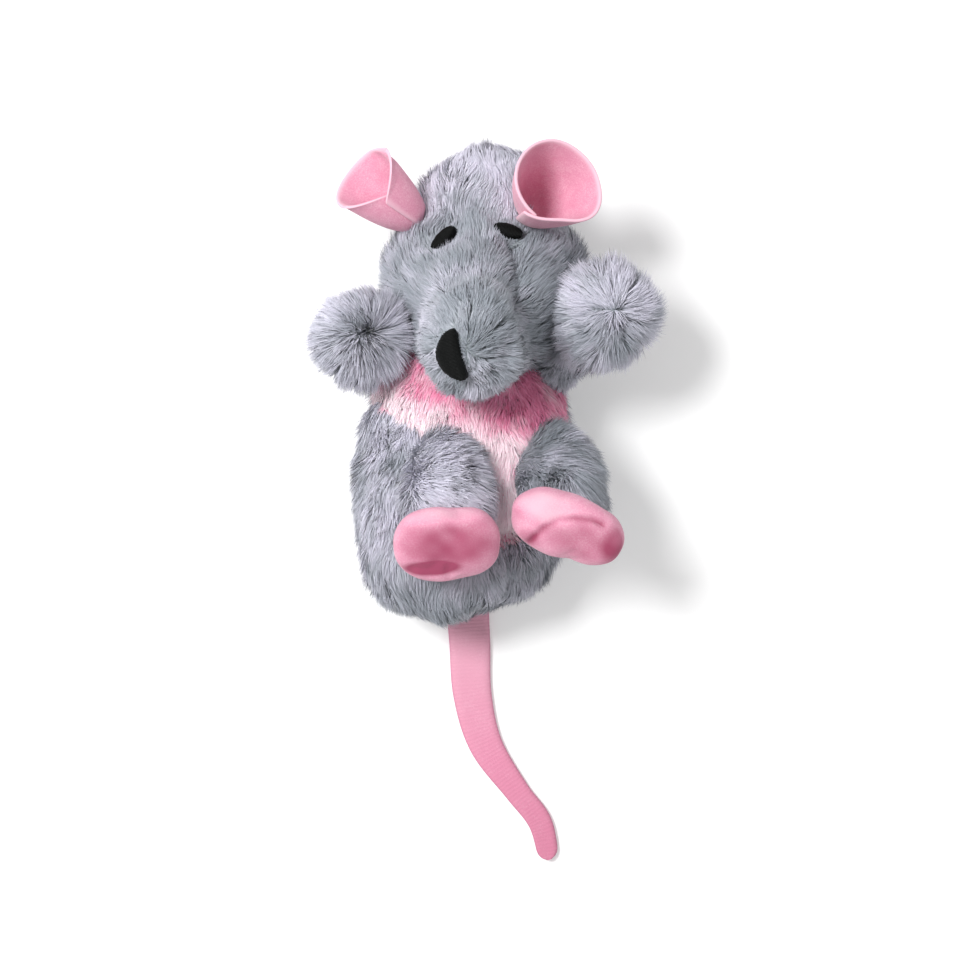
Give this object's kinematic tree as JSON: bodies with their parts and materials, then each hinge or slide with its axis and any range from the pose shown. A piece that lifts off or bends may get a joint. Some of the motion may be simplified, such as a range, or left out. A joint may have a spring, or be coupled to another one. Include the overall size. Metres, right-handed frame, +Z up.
{
  "type": "catnip mouse",
  "caption": "Plush mouse toy for cats, with a pink belly, ears, feet and flat tail, that lies on its back and bends at its seams.",
  "frame": {"origin": "the flat of the trunk's back, where the mouse rests", "axes": "+Z up out of the belly, +Y towards the crown, +X towards the mouse's own left side"},
  "size_m": [0.0864, 0.1896, 0.0708],
  "materials": {
    "grey_plush": "long-pile grey plush",
    "pink_plush": "long-pile pink plush",
    "pink_velour": "short-pile pink velour",
    "fibre_filling": "loose white polyester fibre",
    "sachet_cotton": "plain unbleached cotton",
    "dried_catnip": "dried crumbled leaf",
    "black_thread": "satin-stitched embroidery thread"
  },
  "bodies": {
    "trunk": {"back_panel": "grey_plush", "belly_panel": "pink_plush", "left_flank_panel": "grey_plush", "right_flank_panel": "grey_plush", "front_filling": "fibre_filling", "back_filling": "fibre_filling", "sachet_front": "sachet_cotton", "sachet_back": "sachet_cotton", "catnip": "dried_catnip"},
    "head": {"left_head_panel": "grey_plush", "right_head_panel": "grey_plush", "head_filling": "fibre_filling", "left_eye": "black_thread", "right_eye": "black_thread", "nose": "black_thread"},
    "left_arm": {"left_arm_skin": "grey_plush", "left_arm_filling": "fibre_filling"},
    "right_arm": {"right_arm_skin": "grey_plush", "right_arm_filling": "fibre_filling"},
    "left_leg": {"left_leg_skin": "grey_plush", "left_leg_filling": "fibre_filling"},
    "left_foot": {"left_foot_sole": "pink_velour", "left_foot_upper": "pink_velour", "left_foot_filling": "fibre_filling"},
    "right_leg": {"right_leg_skin": "grey_plush", "right_leg_filling": "fibre_filling"},
    "right_foot": {"right_foot_sole": "pink_velour", "right_foot_upper": "pink_velour", "right_foot_filling": "fibre_filling"},
    "left_ear": {"left_ear": "pink_velour"},
    "right_ear": {"right_ear": "pink_velour"},
    "tail_root": {"tail_root": "pink_velour"},
    "tail_middle": {"tail_middle": "pink_velour"},
    "tail_tip": {"tail_tip": "pink_velour"}
  },
  "joints": [
    {"name": "neck_nod", "type": "hinge", "parent": "trunk", "child": "head", "pos_m": [-0.00038, 0.03995, 0.022], "axis": [1, 0, 0], "range_deg": [-8, 12], "stiffness_Nm_per_rad": 0.06},
    {"name": "left_shoulder_bend", "type": "hinge", "parent": "trunk", "child": "left_arm", "pos_m": [0.01651, 0.03251, 0.0243], "axis": [0, 0, 1], "range_deg": [-25, 0], "stiffness_Nm_per_rad": 0.006},
    {"name": "right_shoulder_bend", "type": "hinge", "parent": "trunk", "child": "right_arm", "pos_m": [-0.02012, 0.03718, 0.02553], "axis": [0, 0, 1], "range_deg": [0, 25], "stiffness_Nm_per_rad": 0.006},
    {"name": "left_hip_bend", "type": "hinge", "parent": "trunk", "child": "left_leg", "pos_m": [0.01836, 0.01041, 0.03146], "axis": [1, 0, 0], "range_deg": [-28, 0], "stiffness_Nm_per_rad": 0.006},
    {"name": "right_hip_bend", "type": "hinge", "parent": "trunk", "child": "right_leg", "pos_m": [-0.00786, 0.00918, 0.04118], "axis": [1, 0, 0], "range_deg": [-28, 0], "stiffness_Nm_per_rad": 0.006},
    {"name": "left_ankle_bend", "type": "hinge", "parent": "left_leg", "child": "left_foot", "pos_m": [0.02271, -0.00725, 0.04742], "axis": [0.9402, -0.3401, 0.02], "range_deg": [-14, 14], "stiffness_Nm_per_rad": 0.002},
    {"name": "right_ankle_bend", "type": "hinge", "parent": "right_leg", "child": "right_foot", "pos_m": [-0.00829, -0.01099, 0.04942], "axis": [0.9987, 0.0502, 0], "range_deg": [-14, 14], "stiffness_Nm_per_rad": 0.002},
    {"name": "left_ear_bend", "type": "hinge", "parent": "head", "child": "left_ear", "pos_m": [0.01303, 0.07353, 0.03316], "axis": [-0.7545, 0.6472, 0.1089], "range_deg": [-10, 10], "stiffness_Nm_per_rad": 0.001},
    {"name": "right_ear_bend", "type": "hinge", "parent": "head", "child": "right_ear", "pos_m": [-0.01557, 0.07032, 0.02945], "axis": [-0.5892, -0.8076, 0.0258], "range_deg": [-10, 10], "stiffness_Nm_per_rad": 0.001},
    {"name": "tail_root_bend", "type": "hinge", "parent": "trunk", "child": "tail_root", "pos_m": [-0.0027, -0.02487, 0.00525], "axis": [-1, 0, 0], "range_deg": [0, 35], "stiffness_Nm_per_rad": 0.0006},
    {"name": "tail_middle_bend", "type": "hinge", "parent": "tail_root", "child": "tail_middle", "pos_m": [-0.0021, -0.04684, 0.00133], "axis": [-0.9996, -0.0266, 0], "range_deg": [-15, 45], "stiffness_Nm_per_rad": 0.0005},
    {"name": "tail_tip_bend", "type": "hinge", "parent": "tail_middle", "child": "tail_tip", "pos_m": [0.00836, -0.07678, 0.0014], "axis": [-0.8015, -0.5979, 0], "range_deg": [-15, 45], "stiffness_Nm_per_rad": 0.0003}
  ]
}
